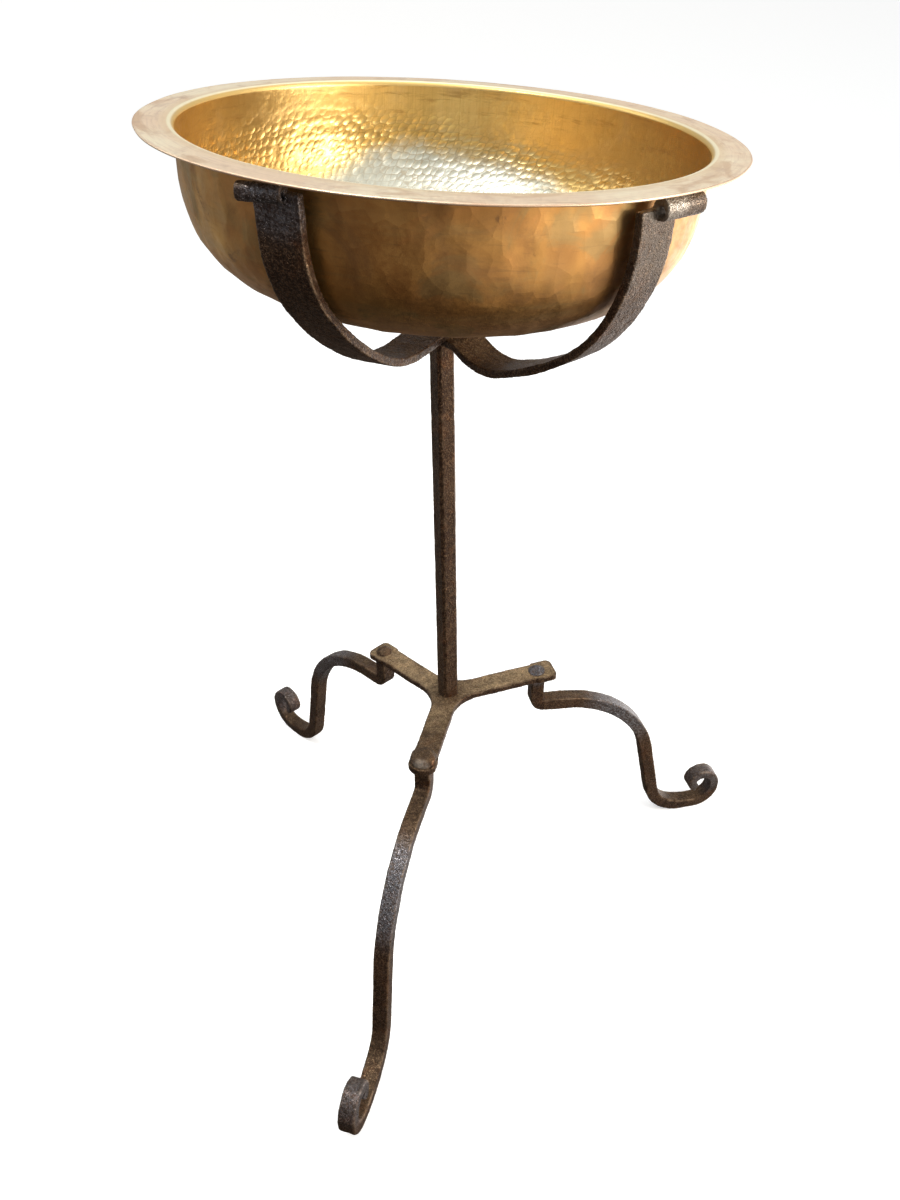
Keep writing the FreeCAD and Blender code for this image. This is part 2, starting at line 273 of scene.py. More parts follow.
# ---------------------------------------------------------------- brass finishes
def brass_inside():
    s = Shader("brass_inside")
    local = s.attribute("local", "Vector")
    z = s.split(local)["Z"]
    cloud = s.noise(local, 8.0, 3.0, 0.5, 0.5)
    streak = s.noise(s.stretch(local, (1.0, 1.0, 0.10)), 30.0, 3.0, 0.6)
    colour = s.mix(s.ramp(cloud, 0.38, 0.66), (0.70, 0.475, 0.165), (0.86, 0.63, 0.265))
    colour = s.mix(s.ramp(streak, 0.5, 0.75, 0.0, 0.40), colour, (0.66, 0.42, 0.135))
    upper = s.ramp(z, -0.085, -0.012)
    tarnish = s.math("MULTIPLY", s.ramp(s.noise(local, 13.0, 4.0, 0.6, 0.8), 0.52, 0.66), upper)
    colour = s.mix(s.math("MULTIPLY", tarnish, 0.65), colour, (0.56, 0.37, 0.17))
    # The pale floor, a light deposit whose pale colour also paints the sky's reflection there, climbs
    # highest at the front and the back, and least at the sides.
    across = s.dot(local, (4.10, 1.21, 0.0))
    side = s.math("POWER", s.math("ABSOLUTE", across), 2.0)
    ragged = s.math("ADD", z, s.math("MULTIPLY", side, 0.098))
    ragged = s.math("ADD", ragged, s.math("MULTIPLY", s.math("SUBTRACT", cloud, 0.5), 0.050))
    patchy = s.noise(local, 42.0, 4.0, 0.6, 0.5)
    ragged = s.math("ADD", ragged, s.math("MULTIPLY", s.math("SUBTRACT", patchy, 0.5), 0.026))
    floor = s.ramp(ragged, -0.050, -0.078)
    # Painted shade: the golden wall above the floor is painted darker and browner towards both sides.
    painted_side_shade = s.math("MULTIPLY", s.ramp(s.math("ABSOLUTE", across), 0.45, 0.95),
                     s.ramp(z, -0.125, -0.06))
    colour = s.mix(s.math("MULTIPLY", painted_side_shade, 0.75), colour, (0.50, 0.30, 0.095))
    ring = s.attribute("ring", "Vector")
    stria = s.noise(s.stretch(ring, (17.0, 17.0, 0.05)), 1.0, 3.0, 0.6, 0.2)
    colour = s.mix(s.math("MULTIPLY", s.ramp(stria, 0.50, 0.70, 0.0, 0.26), upper),
                   colour, (0.50, 0.31, 0.10))
    drag = s.noise(s.stretch(local, (1.0, 1.0, 9.0)), 15.0, 5.0, 0.7, 0.3)
    colour = s.mix(s.math("MULTIPLY", s.ramp(drag, 0.52, 0.68, 0.0, 0.75), upper),
                   colour, (0.45, 0.27, 0.095))
    pale = s.mix(s.ramp(s.noise(local, 18.0, 3.0, 0.5), 0.35, 0.7),
                 (0.55, 0.55, 0.455), (0.74, 0.74, 0.64))
    # Painted shade: the pale floor is darker towards the left.
    pale = s.mix(s.ramp(across, 0.10, -0.45, 0.0, 0.8), pale, (0.44, 0.435, 0.355))
    colour = s.mix(floor, colour, pale)
    specks = s.ramp(s.cells(local, 30.0), 0.040, 0.025)
    rare = s.ramp(s.noise(local, 9.0, 2.0), 0.60, 0.66)
    colour = s.mix(s.math("MULTIPLY", s.math("MULTIPLY", specks, rare), 0.85),
                   colour, (0.08, 0.05, 0.025))
    # Rows of close hammer marks: shallow dishes, with painted shade as a fine dark line along the crease
    # between them.
    peen = s.attribute("peen", "Vector")
    blow = s.cells(peen, 1.0, 0.55)
    dish = s.math("MINIMUM", s.math("POWER", blow, 2.0), 0.36)
    crease = s.ramp(s.cells(peen, 1.0, 0.55, feature="DISTANCE_TO_EDGE"), 0.085, 0.02)
    force = s.attribute("force")
    crease = s.math("MULTIPLY", s.math("MULTIPLY", crease, force), 0.46)
    colour = s.mix(crease, colour, (0.30, 0.18, 0.06))
    fine = s.noise(local, 260.0, 3.0, 0.6)
    rough = s.math("ADD", s.ramp(cloud, 0.3, 0.7, 0.34, 0.27),
                   s.ramp(fine, 0.3, 0.75, 0.0, 0.08))
    rough = s.math("ADD", rough, s.math("MULTIPLY", tarnish, 0.12))
    grain = s.noise(s.stretch(local, (1.0, 1.0, 0.25)), 420.0, 2.0, 0.5)
    height = s.math("ADD", s.math("MULTIPLY", s.math("MULTIPLY", dish, force), 2.0),
                    s.math("MULTIPLY", grain, 0.05))
    height = s.math("ADD", height, s.math("MULTIPLY", s.math("MULTIPLY", stria, upper), 0.12))
    rough = s.math("ADD", rough, s.math("MULTIPLY", floor, 0.12))
    metal = s.math("SUBTRACT", 1.0, s.math("MULTIPLY", floor, 0.30))
    return s.finish(colour, rough, s.bump(height, 1.0, 0.0009), metal)


def brass_outside():
    s = Shader("brass_outside")
    local = s.attribute("local", "Vector")
    z = s.split(local)["Z"]
    cloud = s.noise(local, 6.5, 4.0, 0.6, 0.8)
    blotch = s.noise(local, 17.0, 5.0, 0.65, 0.7)
    band = s.noise(s.stretch(local, (0.35, 0.35, 2.6)), 17.0, 4.0, 0.6, 0.2)
    colour = s.mix(s.ramp(cloud, 0.36, 0.64), (0.53, 0.270, 0.084), (0.76, 0.460, 0.150))
    colour = s.mix(s.ramp(blotch, 0.48, 0.66, 0.0, 0.75), colour, (0.36, 0.19, 0.075))
    colour = s.mix(s.ramp(band, 0.50, 0.70, 0.0, 0.50), colour, (0.56, 0.385, 0.155))
    pillar = s.noise(s.stretch(local, (1.0, 1.0, 0.22)), 21.0, 3.0, 0.6, 0.3)
    pillar = s.math("MULTIPLY", s.ramp(pillar, 0.48, 0.64), s.ramp(z, -0.115, -0.07))
    colour = s.mix(s.math("MULTIPLY", pillar, 0.42), colour, (0.27, 0.15, 0.07))
    low = s.ramp(z, -0.085, -0.125, 0.0, 0.55)
    colour = s.mix(low, colour, (0.56, 0.38, 0.24))
    warm = s.math("MULTIPLY", s.ramp(s.noise(local, 11.0, 4.0, 0.6, 0.9), 0.52, 0.64),
                  s.ramp(z, -0.10, -0.03))
    colour = s.mix(s.math("MULTIPLY", warm, 0.60), colour, (0.64, 0.315, 0.105))
    olive = s.ramp(s.noise(local, 15.0, 4.0, 0.6, 0.9), 0.54, 0.64, 0.0, 0.60)
    colour = s.mix(olive, colour, (0.37, 0.265, 0.115))
    stain = s.ramp(s.noise(local, 44.0, 6.0, 0.7, 0.5), 0.60, 0.74, 0.0, 0.65)
    colour = s.mix(stain, colour, (0.19, 0.105, 0.055))
    scratch = s.noise(s.stretch(local, (1.0, 1.0, 14.0)), 26.0, 4.0, 0.7)
    colour = s.mix(s.ramp(scratch, 0.55, 0.75, 0.0, 0.35), colour, (0.24, 0.15, 0.075))
    fine = s.noise(local, 300.0, 3.0, 0.6)
    rough = s.math("ADD", s.ramp(blotch, 0.3, 0.7, 0.30, 0.44), s.ramp(fine, 0.3, 0.75, 0.0, 0.10))
    dents = s.math("POWER", s.cells(s.stretch(local, (1.0, 1.0, 0.8)), 62.0), 2.0)
    height = s.math("ADD", s.math("MULTIPLY", dents, 0.9), s.math("MULTIPLY", fine, 0.10))
    return s.finish(colour, rough, s.bump(height, 0.30, 0.002), 0.97)


def brass_rim():
    s = Shader("brass_rim")
    local = s.attribute("local", "Vector")
    ring = s.attribute("ring", "Vector")
    across = s.add("ShaderNodeVectorMath", operation="LENGTH")
    s.put(across.inputs[0], s.stretch(local, (1.0, 1.0, 0.0)))
    rho = across.outputs["Value"]
    cloud = s.noise(local, 8.0, 4.0, 0.6, 0.5)
    fine = s.noise(local, 420.0, 3.0, 0.6)
    brushed = s.noise(ring, 1.0, 4.0, 0.6)
    colour = s.mix(s.ramp(cloud, 0.35, 0.65), (0.92, 0.715, 0.51), (1.0, 0.88, 0.65))
    colour = s.mix(s.ramp(brushed, 0.46, 0.70, 0.0, 0.38), colour, (0.64, 0.45, 0.33))
    patch = s.noise(s.stretch(ring, (0.55, 0.55, 0.10)), 1.0, 4.0, 0.6, 0.8)
    colour = s.mix(s.ramp(patch, 0.50, 0.66, 0.0, 0.62), colour, (0.66, 0.44, 0.265))
    mottled = s.noise(local, 46.0, 5.0, 0.65)
    colour = s.mix(s.ramp(mottled, 0.50, 0.72, 0.0, 0.4), colour, (0.56, 0.38, 0.27))
    inner_side = s.ramp(rho, BOWL_RADIUS + 14 * MM, BOWL_RADIUS + 4 * MM, 0.0, 0.5)
    colour = s.mix(inner_side, colour, (0.86, 0.66, 0.40))
    # Burnished lip; its cream colour also paints the highlight line that runs along it.
    lip = s.ramp(rho, BOWL_RADIUS + 4.6 * MM, BOWL_RADIUS + 2.6 * MM)
    colour = s.mix(lip, colour, (0.98, 0.87, 0.60))
    into_basin = s.ramp(rho, BOWL_RADIUS + 1.2 * MM, BOWL_RADIUS - 0.6 * MM)
    colour = s.mix(into_basin, colour, (0.70, 0.475, 0.165))
    edge = s.ramp(rho, RIM_RADIUS - 3.0 * MM, RIM_RADIUS - 0.6 * MM, 0.0, 0.6)
    colour = s.mix(edge, colour, (0.56, 0.36, 0.24))
    rough = s.math("ADD", s.ramp(fine, 0.3, 0.7, 0.38, 0.50), s.math("MULTIPLY", lip, -0.06))
    height = s.math("ADD", s.math("MULTIPLY", fine, 0.3), s.math("MULTIPLY", brushed, 0.7))
    metal = s.math("SUBTRACT", 0.92, s.math("MULTIPLY", lip, 0.20))
    return s.finish(colour, rough, s.bump(height, 0.06, 0.0008), metal)


# ---------------------------------------------------------------- forged iron finish
def forged_iron(name):
    s = Shader(name)
    place = s.place()
    wide = s.noise(place, 14.0, 4.0, 0.6, 0.4)
    scale_marks = s.noise(place, 95.0, 5.0, 0.65, 0.3)
    pits = s.noise(place, 760.0, 2.0, 0.6)
    coarse = s.noise(place, 380.0, 2.0, 0.5)
    dots = s.cells(place, 560.0)
    grit = s.math("ADD", s.math("MULTIPLY", pits, 0.6), s.math("MULTIPLY", coarse, 0.4))
    speck = s.ramp(grit, 0.52, 0.60)
    hole = s.ramp(grit, 0.46, 0.38)
    colour = s.mix(s.ramp(wide, 0.35, 0.68), (0.036, 0.0195, 0.012), (0.068, 0.039, 0.0235))
    colour = s.mix(s.ramp(scale_marks, 0.46, 0.72, 0.0, 0.6), colour, (0.100, 0.066, 0.043))
    rust = s.noise(place, 38.0, 5.0, 0.7, 0.6)
    colour = s.mix(s.ramp(rust, 0.52, 0.72, 0.0, 0.8), colour, (0.105, 0.043, 0.018))
    colour = s.mix(s.math("MULTIPLY", speck, 0.28), colour, (0.38, 0.235, 0.135))
    dust = s.math("MULTIPLY", s.attribute("dust"),
                  s.math("ADD", s.math("MULTIPLY", speck, 0.30), 0.55))
    dust = s.math("MULTIPLY", dust, s.ramp(scale_marks, 0.34, 0.64, 0.60, 1.12))
    colour = s.mix(s.math("MULTIPLY", dust, 0.92), colour, (0.80, 0.565, 0.315))
    colour = s.mix(s.math("MULTIPLY", hole, 0.40), colour, (0.018, 0.011, 0.007))
    worn = s.math("MULTIPLY", s.attribute("edge"), s.ramp(scale_marks, 0.40, 0.62))
    colour = s.mix(s.math("MULTIPLY", worn, 0.40), colour, (0.30, 0.21, 0.135))
    # Polished spots: lower roughness, and a bluish-grey painted highlight where they glint.
    painted_sheen_and_polish = s.math("MULTIPLY", s.attribute("polish_and_painted_sheen"), s.ramp(coarse, 0.38, 0.60, 0.25, 1.0))
    colour = s.mix(s.math("MULTIPLY", painted_sheen_and_polish, 0.75), colour, (0.215, 0.230, 0.265))
    # Bare spots: rubbed metal colour, which on the right-hand rolled tip and its strap also paints the
    # light falling there.
    bare_and_painted_light = s.math("MULTIPLY", s.attribute("bare_and_painted_light"), s.ramp(scale_marks, 0.32, 0.50, 0.35, 1.0))
    colour = s.mix(bare_and_painted_light, colour, (0.42, 0.375, 0.32))
    rough = s.math("SUBTRACT", s.ramp(scale_marks, 0.3, 0.7, 0.34, 0.50),
                   s.math("MULTIPLY", speck, 0.10))
    rough = s.math("ADD", rough, s.math("MULTIPLY", dust, 0.05))
    rough = s.math("SUBTRACT", rough, s.math("MULTIPLY", painted_sheen_and_polish, 0.14))
    height = s.math("ADD", s.math("MULTIPLY", speck, 0.55), s.math("MULTIPLY", scale_marks, 1.3))
    height = s.math("ADD", height, s.math("MULTIPLY", s.ramp(dots, 0.1, 0.5), 0.25))
    height = s.math("SUBTRACT", height, s.math("MULTIPLY", hole, 0.35))
    metal = s.math("SUBTRACT", 0.92, s.math("MULTIPLY", dust, 0.12))
    return s.finish(colour, rough, s.bump(height, 1.0, 0.0007), metal)


# ---------------------------------------------------------------- bowl
def wall_curve(radius, depth, spacing):
    """(distance along the wall, radius, height) from the basin's centre up to the rim."""
    angle = np.linspace(math.pi / 2, 1e-4, 6000)
    across = radius * np.cos(angle) ** (2.0 / SQUARE_ACROSS)
    down = -depth * np.sin(angle) ** (2.0 / SQUARE_DOWN)
    keep = down < -(LIP + WALL)
    across, down = across[keep], down[keep]
    across[0] = 0.0
    along = np.concatenate([[0.0], np.cumsum(np.hypot(np.diff(across), np.diff(down)))])
    stations = [0.0]
    while stations[-1] < along[-1]:
        stations.append(stations[-1] + spacing(stations[-1]))
    stations = np.array(stations[:-1])
    stations *= along[-1] / stations[-1]
    return stations, np.interp(stations, along, across), np.interp(stations, along, down)


def peen_marks(along, around, radius_at, pitch, depth, cap, seed, size_spread=0.35):
    """Depth of overlapping round hammer marks laid in rings, one ring every `pitch`."""
    rings = int(along.max() / pitch) + 3
    generator = np.random.default_rng(seed)
    height = np.full(along.shape, cap)
    ring_of = np.floor(along / pitch).astype(int)
    for ring in range(-1, rings):
        middle = (ring + 0.5) * pitch
        ring_radius = float(radius_at(max(middle, pitch * 0.5)))
        number = max(5, int(round(2 * math.pi * ring_radius / (pitch * 1.04))))
        turn = (np.arange(number) + generator.uniform(-0.24, 0.24, number)) / number * 2 * math.pi
        turn += generator.uniform(0, 2 * math.pi)
        shift = middle + generator.uniform(-0.22, 0.22, number) * pitch
        deep = depth * generator.uniform(1.0 - size_spread, 1.0 + size_spread, number)
        near = np.abs(ring_of - ring) <= 1
        if not near.any():
            continue
        local_along, local_around = along[near], around[near]
        order = np.argsort(turn % (2 * math.pi))
        turn, shift, deep = (turn % (2 * math.pi))[order], shift[order], deep[order]
        spot = np.searchsorted(turn, local_around % (2 * math.pi))
        best = height[near]
        for step in (-2, -1, 0, 1):
            index = (spot + step) % number
            gap = (local_around - turn[index] + math.pi) % (2 * math.pi) - math.pi
            distance = (gap * ring_radius) ** 2 + (local_along - shift[index]) ** 2
            dish = distance / (0.55 * pitch) ** 2 * depth - deep[index]
            best = np.minimum(best, dish)
        height[near] = best
    return height


def ring_rows():
    """Every row of the lathe: radius, height, columns, zone and distance along the wall."""
    rows = []
    coarser = 1.0

    def inner_spacing(along):
        return np.interp(along, [0, 0.09, 0.15, 0.18], [4.2, 3.2, 2.4, 2.15]) * MM * coarser

    def outer_spacing(along):
        return 5.2 * MM * coarser

    along, across, down = wall_curve(BOWL_RADIUS - WALL, BOWL_DEPTH - WALL, inner_spacing)
    for s, r, z in zip(along, across, down):
        columns = AROUND // (1 if r > 0.115 else 2 if r > 0.055 else 4 if r > 0.022 else 8)
        rows.append((r, z, columns, "inside", s))
    reach = along[-1]
    bend = LIP + WALL
    for step in range(1, BEND_ROWS + 1):
        angle = step / BEND_ROWS * math.pi / 2
        rows.append((BOWL_RADIUS - WALL + bend - bend * math.cos(angle), -bend + bend * math.sin(angle),
                     AROUND, "lip", reach + bend * angle))
    for share in (0.2, 0.4, 0.6, 0.8, 0.93, 1.0):
        start = BOWL_RADIUS + LIP
        rows.append((start + (RIM_RADIUS - EDGE_INSET - start) * share, 0.0, AROUND // 2, "rim", 0.0))
    for angle in (45, 90, 135):
        turn = math.radians(angle)
        rows.append((RIM_RADIUS - EDGE_INSET + EDGE_BULGE * math.sin(turn),
                     -FLANGE / 2 * (1 - math.cos(turn)),
                     AROUND // 2, "rim", 0.0))
    for share in (1.0, 0.75, 0.5, 0.25):
        start = BOWL_RADIUS + LIP
        rows.append((start + (RIM_RADIUS - EDGE_INSET - start) * share, -FLANGE,
                     AROUND // 2, "under", 0.0))
    for step in range(TRIM_ROWS):
        angle = step / TRIM_ROWS * math.pi / 2
        rows.append((BOWL_RADIUS + LIP - LIP * math.sin(angle), -FLANGE - LIP + LIP * math.cos(angle),
                     AROUND // 2, "under", 0.0))
    along, across, down = wall_curve(BOWL_RADIUS, BOWL_DEPTH, outer_spacing)
    for s, r, z in reversed(list(zip(along, across, down))):
        columns = AROUND // (2 if r > 0.10 else 4 if r > 0.04 else 8)
        rows.append((r, z, columns, "outside", s))
    return rows


def lathe_faces(rows, starts):
    """Faces between neighbouring rows; where the column count halves, three triangles per step."""
    faces = []
    for upper, lower in zip(range(len(rows) - 1), range(1, len(rows))):
        first, second = rows[upper][2], rows[lower][2]
        a, b = starts[upper], starts[lower]
        if rows[upper][0] < POLE:
            faces.extend((a, b + (i + 1) % second, b + i)[::-1] for i in range(second))
        elif rows[lower][0] < POLE:
            faces.extend((a + i, a + (i + 1) % first, b)[::-1] for i in range(first))
        elif first == second:
            faces.extend((a + i, b + i, b + (i + 1) % first, a + (i + 1) % first)
                         for i in range(first))
        elif first == 2 * second:
            for i in range(second):
                left, middle, right = a + 2 * i, a + 2 * i + 1, a + (2 * i + 2) % first
                low, high = b + i, b + (i + 1) % second
                faces.extend([(left, low, middle), (middle, low, high), (middle, high, right)])
        else:
            for i in range(first):
                left, middle, right = b + 2 * i, b + 2 * i + 1, b + (2 * i + 2) % second
                low, high = a + i, a + (i + 1) % first
                faces.extend([(left, middle, low), (middle, high, low), (middle, right, high)])
    return faces


def build_bowl():
    rows = ring_rows()
    starts, points, zones, distance, turns = [], [], [], [], []
    total = 0
    for r, z, columns, zone, along in rows:
        count = 1 if r < POLE else columns
        starts.append(total)
        total += count
        turn = np.arange(count) / columns * 2 * math.pi
        points.append(np.stack([r * np.cos(turn), r * np.sin(turn), np.full(count, z)], axis=1))
        zones.extend([zone] * count)
        distance.append(np.full(count, along))
        turns.append(turn)
    points = np.concatenate(points)
    distance = np.concatenate(distance)
    turns = np.concatenate(turns)
    zones = np.array(zones)
    faces = lathe_faces(rows, starts)

    mesh = bpy.data.meshes.new("bowl_hammered")
    mesh.from_pydata(points.tolist(), [], faces)
    mesh.update()
    normals = get_normals(mesh)

    inside = (zones == "inside") | (zones == "lip")
    rho = np.hypot(points[:, 0], points[:, 1])
    in_rows = [row for row in rows if row[3] == "inside"]
    out_rows = [row for row in rows if row[3] == "outside"][::-1]

    def radius_at(s):
        return np.interp(s, [row[4] for row in in_rows], [row[0] for row in in_rows])

    def outer_radius_at(s):
        return np.interp(s, [row[4] for row in out_rows], [row[0] for row in out_rows])

    marks = np.zeros(len(points))
    marks[inside] = peen_marks(distance[inside], turns[inside], radius_at,
                               INNER_PITCH, INNER_DEPTH, INNER_CAP, 5)
    wobble = lattice_noise(points, 0.05, 11)
    # The worked band round the knee reaches less far up the wall on the right.
    rightward = points[:, 0] * RIGHT_OF_FRONT[0] + points[:, 1] * RIGHT_OF_FRONT[1]
    reached = distance + 0.026 * smooth_step(rightward, -0.04, 0.12)
    knee = smooth_step(distance, 0.15, 0.21) * (1.0 - smooth_step(reached, 0.278, 0.312))
    strength = 0.42 + 0.75 * knee + 0.28 * np.clip(wobble, -1, 1)
    strength *= 1.0 - smooth_step(distance, 0.312, 0.326)
    patchy = lattice_noise(points, 0.035, 13)
    force = 0.10 + 0.90 * knee * np.clip(0.75 + 0.5 * patchy, 0.3, 1.0) + \
        0.16 * np.clip(wobble, 0, 1)
    force *= 1.0 - smooth_step(distance, 0.316, 0.327)
    force *= smooth_step(distance, 0.06, 0.13)
    outside = zones == "outside"
    facets = np.zeros(len(points))
    facets[outside] = peen_marks(distance[outside], turns[outside], outer_radius_at,
                                 OUTER_PITCH, OUTER_DEPTH, OUTER_CAP, 17, OUTER_SPREAD)
    fade = 1.0 - smooth_step(distance, 0.33, 0.35)

    shift = np.zeros((len(points), 3))
    # Normals point away from the metal, so every mark moves its skin against them, into the wall.
    shift[inside] = normals[inside] * ((marks - INNER_CAP) * strength)[inside][:, None]
    shift[outside] = normals[outside] * ((facets - OUTER_CAP) * fade)[outside][:, None]
    slow = lattice_noise(np.stack([np.cos(turns), np.sin(turns), distance * 0 + 3], axis=1), 0.42, 23)
    rim = (zones == "rim") | (zones == "under") | (zones == "lip")
    rim_share = smooth_step(rho, BOWL_RADIUS, RIM_RADIUS)
    shift[:, 2] += np.where(rim, (slow - 1.0) * RIM_WAVE * rim_share, 0.0)
    points = points + shift
    edge_wander = lattice_noise(np.stack([np.cos(turns), np.sin(turns), distance * 0], axis=1), 0.16, 29)
    scale = 1.0 + np.where(rim, (edge_wander - 1.0) * EDGE_WAVE / RIM_RADIUS * rim_share, 0.0)
    points[:, :2] *= scale[:, None]

    local = points.copy()
    turned = points @ np.array(bowl_matrix.to_3x3()).T + np.array(bowl_matrix.translation)
    set_points(mesh, turned)
    add_attribute(mesh, "local", local)
    add_attribute(mesh, "force", force)
    # Hand-rubbed streaks run round the rim: fine across it, long along it.
    ring = np.stack([np.cos(turns) * STREAK_TURN, np.sin(turns) * STREAK_TURN,
                     rho / STREAK_WIDTH], axis=1)
    add_attribute(mesh, "ring", ring)
    for material in (brass_inside(), brass_rim(), brass_outside()):
        mesh.materials.append(material)
    index_of = {"inside": 0, "lip": 1, "rim": 1, "under": 1, "outside": 2}
    of_point = np.array([index_of[zone] for zone in zones])
    first_corner = np.empty(len(mesh.polygons), dtype=np.int64)
    mesh.polygons.foreach_get("loop_start", first_corner)
    corner_point = np.empty(len(mesh.loops), dtype=np.int64)
    mesh.loops.foreach_get("vertex_index", corner_point)
    # The last column of faces closes the ring, so its far corners are a full turn on.
    lengths = np.diff(np.append(first_corner, len(corner_point)))
    corner_turn = turns[corner_point]
    furthest = np.repeat(np.maximum.reduceat(corner_turn, first_corner), lengths)
    corner_turn = corner_turn + np.where((furthest > 4.7) & (corner_turn < 1.6), 2 * math.pi, 0.0)
    row = distance[corner_point] / PEEN_ROW
    peen = np.stack([corner_turn * PEEN_COLUMNS / (2 * math.pi) + 0.5 * row, row, row * 0.0], axis=1)
    attribute = mesh.attributes.new("peen", "FLOAT_VECTOR", "CORNER")
    attribute.data.foreach_set("vector", peen.astype(np.float32).ravel())
    mesh.polygons.foreach_set("material_index", of_point[corner_point[first_corner]].astype(np.int32))
    shade_smooth(mesh)
    return add_piece("bowl_hammered", mesh, "bowl", ["bowl"])


# ---------------------------------------------------------------- iron stand
def dome_place(node_name):
    """Centre of the peened head on top of a leg, in plan."""
    points = get_points(frame["nodes"][node_name].data)
    return points[points[:, 2] > points[:, 2].max() - 2 * MM].mean(axis=0)


def lump_front_end(points, normals):
    """The front arm ends in one heavy hammered lump: a big dome over a rounded plate end."""
    centre = dome_place("leg_front")
    outward = centre[:2] / np.linalg.norm(centre[:2])
    flat = points[:, :2] - centre[:2]
    reach = np.linalg.norm(flat, axis=1)
    near = (reach < 34 * MM) & (points[:, 2] > centre[2] - 24 * MM)
    beyond = flat @ outward
    rounded = 18.8 * MM
    pull = near & (beyond > -4 * MM) & (reach > rounded) & (points[:, 2] > centre[2] - 21 * MM)
    points[pull, :2] = centre[:2] + flat[pull] * (rounded / reach[pull])[:, None]
    flat = points[:, :2] - centre[:2]
    spread = 0.26 * (1.0 - smooth_step(np.linalg.norm(flat, axis=1), 8 * MM, 19 * MM))
    spread *= near * smooth_step(points[:, 2], centre[2] - 11 * MM, centre[2] - 6 * MM)
    points[:, :2] += flat * spread[:, None]
    lump = lattice_noise(points, 9 * MM, 77) * 0.9 * MM + 0.7 * MM
    lump *= smooth_step(points[:, 2], centre[2] - 12 * MM, centre[2] - 5 * MM)
    lump = np.where(near, lump, 0.0) * (1.0 - smooth_step(reach, 18 * MM, 26 * MM))
    points += normals * lump[:, None]
    return points


def forge(node_name, seed, wear_rounds, swell, pit_depth, dustiness, spots):
    """A worn, pitted, hand-hammered copy of a CAD piece, kept inside that piece's box."""
    source = frame["nodes"][node_name]
    rough = bpy.data.objects.new("rough_" + node_name, source.data.copy())
    bpy.context.scene.collection.objects.link(rough)
    remesh = rough.modifiers.new("grid", "REMESH")
    remesh.mode = "VOXEL"
    remesh.voxel_size = VOXEL
    graph = bpy.context.evaluated_depsgraph_get()
    mesh = bpy.data.meshes.new_from_object(rough.evaluated_get(graph))
    bpy.data.objects.remove(rough)
    mesh.name = node_name + "_forged"
    mesh.materials.clear()

    points = get_points(mesh)
    edges = get_edges(mesh)
    worn = relax(points, edges, wear_rounds, True)
    set_points(mesh, worn)
    normals = get_normals(mesh)
    softer = relax(worn, edges, 14)
    crest = np.einsum("ij,ij->i", worn - softer, normals)
    edge = smooth_step(crest, 0.10 * MM, 0.42 * MM)

    hammer = lattice_noise(worn, 16 * MM, seed) * swell
    dents = lattice_noise(worn, 6.5 * MM, seed + 1) * 0.45 * swell
    fine = lattice_noise(worn, 2.9 * MM, seed + 2)
    finer = lattice_noise(worn, 1.7 * MM, seed + 3)
    pits = -pit_depth * np.clip(fine + 0.5 * finer, 0.0, 1.5)
    grain = 0.5 * pit_depth * finer
    if node_name in ("hub_spider", "leg_front"):
        worn = lump_front_end(worn, normals)
    push = hammer + dents + pits + grain + 0.35 * MM
    if node_name.startswith("leg"):
        foot = mount_place(node_name.replace("leg", "foot"))
        away = np.linalg.norm(worn - np.array([*foot[:2], 45 * MM]), axis=1)
        scroll = 1.0 - smooth_step(away, 30 * MM, 70 * MM)
        push += 0.40 * MM + 0.7 * MM * scroll
    points = worn + normals * push[:, None]
    low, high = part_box(node_name)
    points = np.clip(points, np.array(low), np.array(high))
    set_points(mesh, points)
    normals = get_normals(mesh)

    flat_top = relax(normals, edges, 4)
    dust = smooth_step(flat_top[:, 2], 0.45, 0.95) * dustiness
    dust *= 0.75 + 0.25 * lattice_noise(points, 22 * MM, seed + 4)
    if node_name == "hub_spider":
        front = dome_place("leg_front")[:2]
        forward = points[:, :2] @ front / np.linalg.norm(front)
        dust *= 1.0 - 0.75 * smooth_step(forward, 15 * MM, 95 * MM)
        dust *= 0.45 + 0.55 * smooth_step(np.hypot(points[:, 0], points[:, 1]), 10 * MM, 42 * MM)
        dust *= 1.0 - 0.6 * edge
    worn_and_painted_light_spots = {"polish_and_painted_sheen": np.zeros(len(points)), "bare_and_painted_light": np.zeros(len(points))}
    for kind, centre, radius, amount in spots:
        distance = np.linalg.norm(points - np.array(centre), axis=1)
        spot = amount * (1.0 - smooth_step(distance, 0.4 * radius, radius))
        worn_and_painted_light_spots[kind] = np.maximum(worn_and_painted_light_spots[kind], spot)
    add_attribute(mesh, "edge", edge)
    add_attribute(mesh, "dust", dust)
    add_attribute(mesh, "polish_and_painted_sheen", worn_and_painted_light_spots["polish_and_painted_sheen"])
    add_attribute(mesh, "bare_and_painted_light", worn_and_painted_light_spots["bare_and_painted_light"])
    shade_smooth(mesh)
    return mesh


def mount_place(name):
    return next(mount["pos_m"] for mount in frame["record"]["mounts"] if mount["name"] == name)


# Visible rolled tip of each cradle bar: distance from the post's axis, turn from the front.
TIPS = {"cradle_bar_lower": (0.255, 57.3), "cradle_bar_upper": (0.25, -11.2)}
DUSTINESS = {"hub_spider": 1.0, "cradle_bar_upper": 0.30, "cradle_bar_lower": 0.30}
LITTLE_DUST = 0.13
WEAR_ROUNDS = 4
SWELL = 0.34 * MM
PIT_DEPTH = 0.30 * MM


